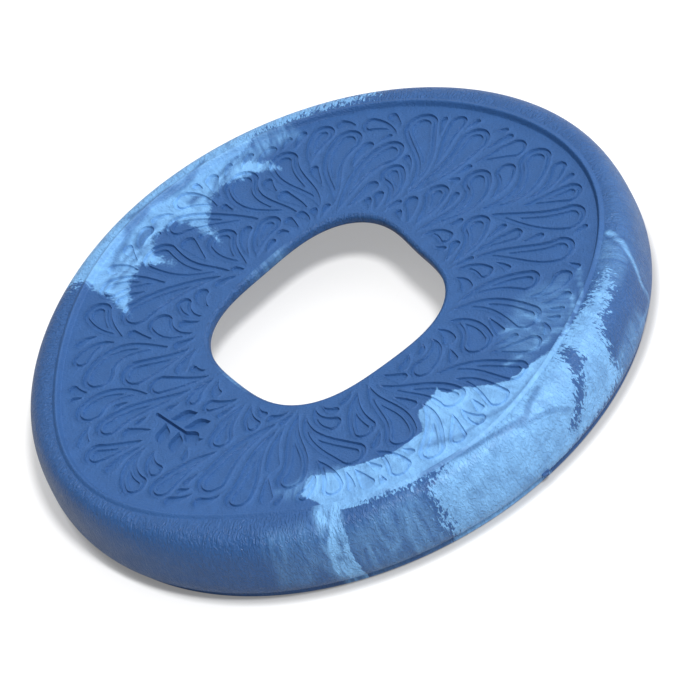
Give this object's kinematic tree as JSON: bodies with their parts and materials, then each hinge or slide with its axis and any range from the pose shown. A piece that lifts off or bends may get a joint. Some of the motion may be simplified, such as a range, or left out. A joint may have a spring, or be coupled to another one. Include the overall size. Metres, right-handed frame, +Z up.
{
  "type": "soft flying ring",
  "caption": "Soft moulded flying ring with a patterned flat deck, a rounded hand hole, a full tucked-in skirt and an open hollow underside.",
  "frame": {"origin": "middle of the ring on the surface it lies on, which is the flat underside of its foot", "axes": "+Z up through the ring's middle, towards the patterned deck; +X and +Y in the plane of the ring, with the small recessed sprig near -X and the gate mark near -Y"},
  "size_m": [0.24, 0.24, 0.0322],
  "materials": {
    "deck_fine_texture": "foamed thermoplastic rubber, deep blue marbled with pale blue, fine matt texture",
    "skirt_leather_grain": "the same marbled rubber with a leather-like grain and a satin gloss"
  },
  "bodies": {
    "root": {"deck_web": "deck_fine_texture", "deck_bead": "deck_fine_texture", "leaf_relief": "deck_fine_texture", "hole_lip": "deck_fine_texture", "shoulder": "skirt_leather_grain", "skirt": "skirt_leather_grain", "seam_band_ring": "skirt_leather_grain", "foot_lip": "skirt_leather_grain", "gate_mark": "skirt_leather_grain"}
  },
  "joints": []
}
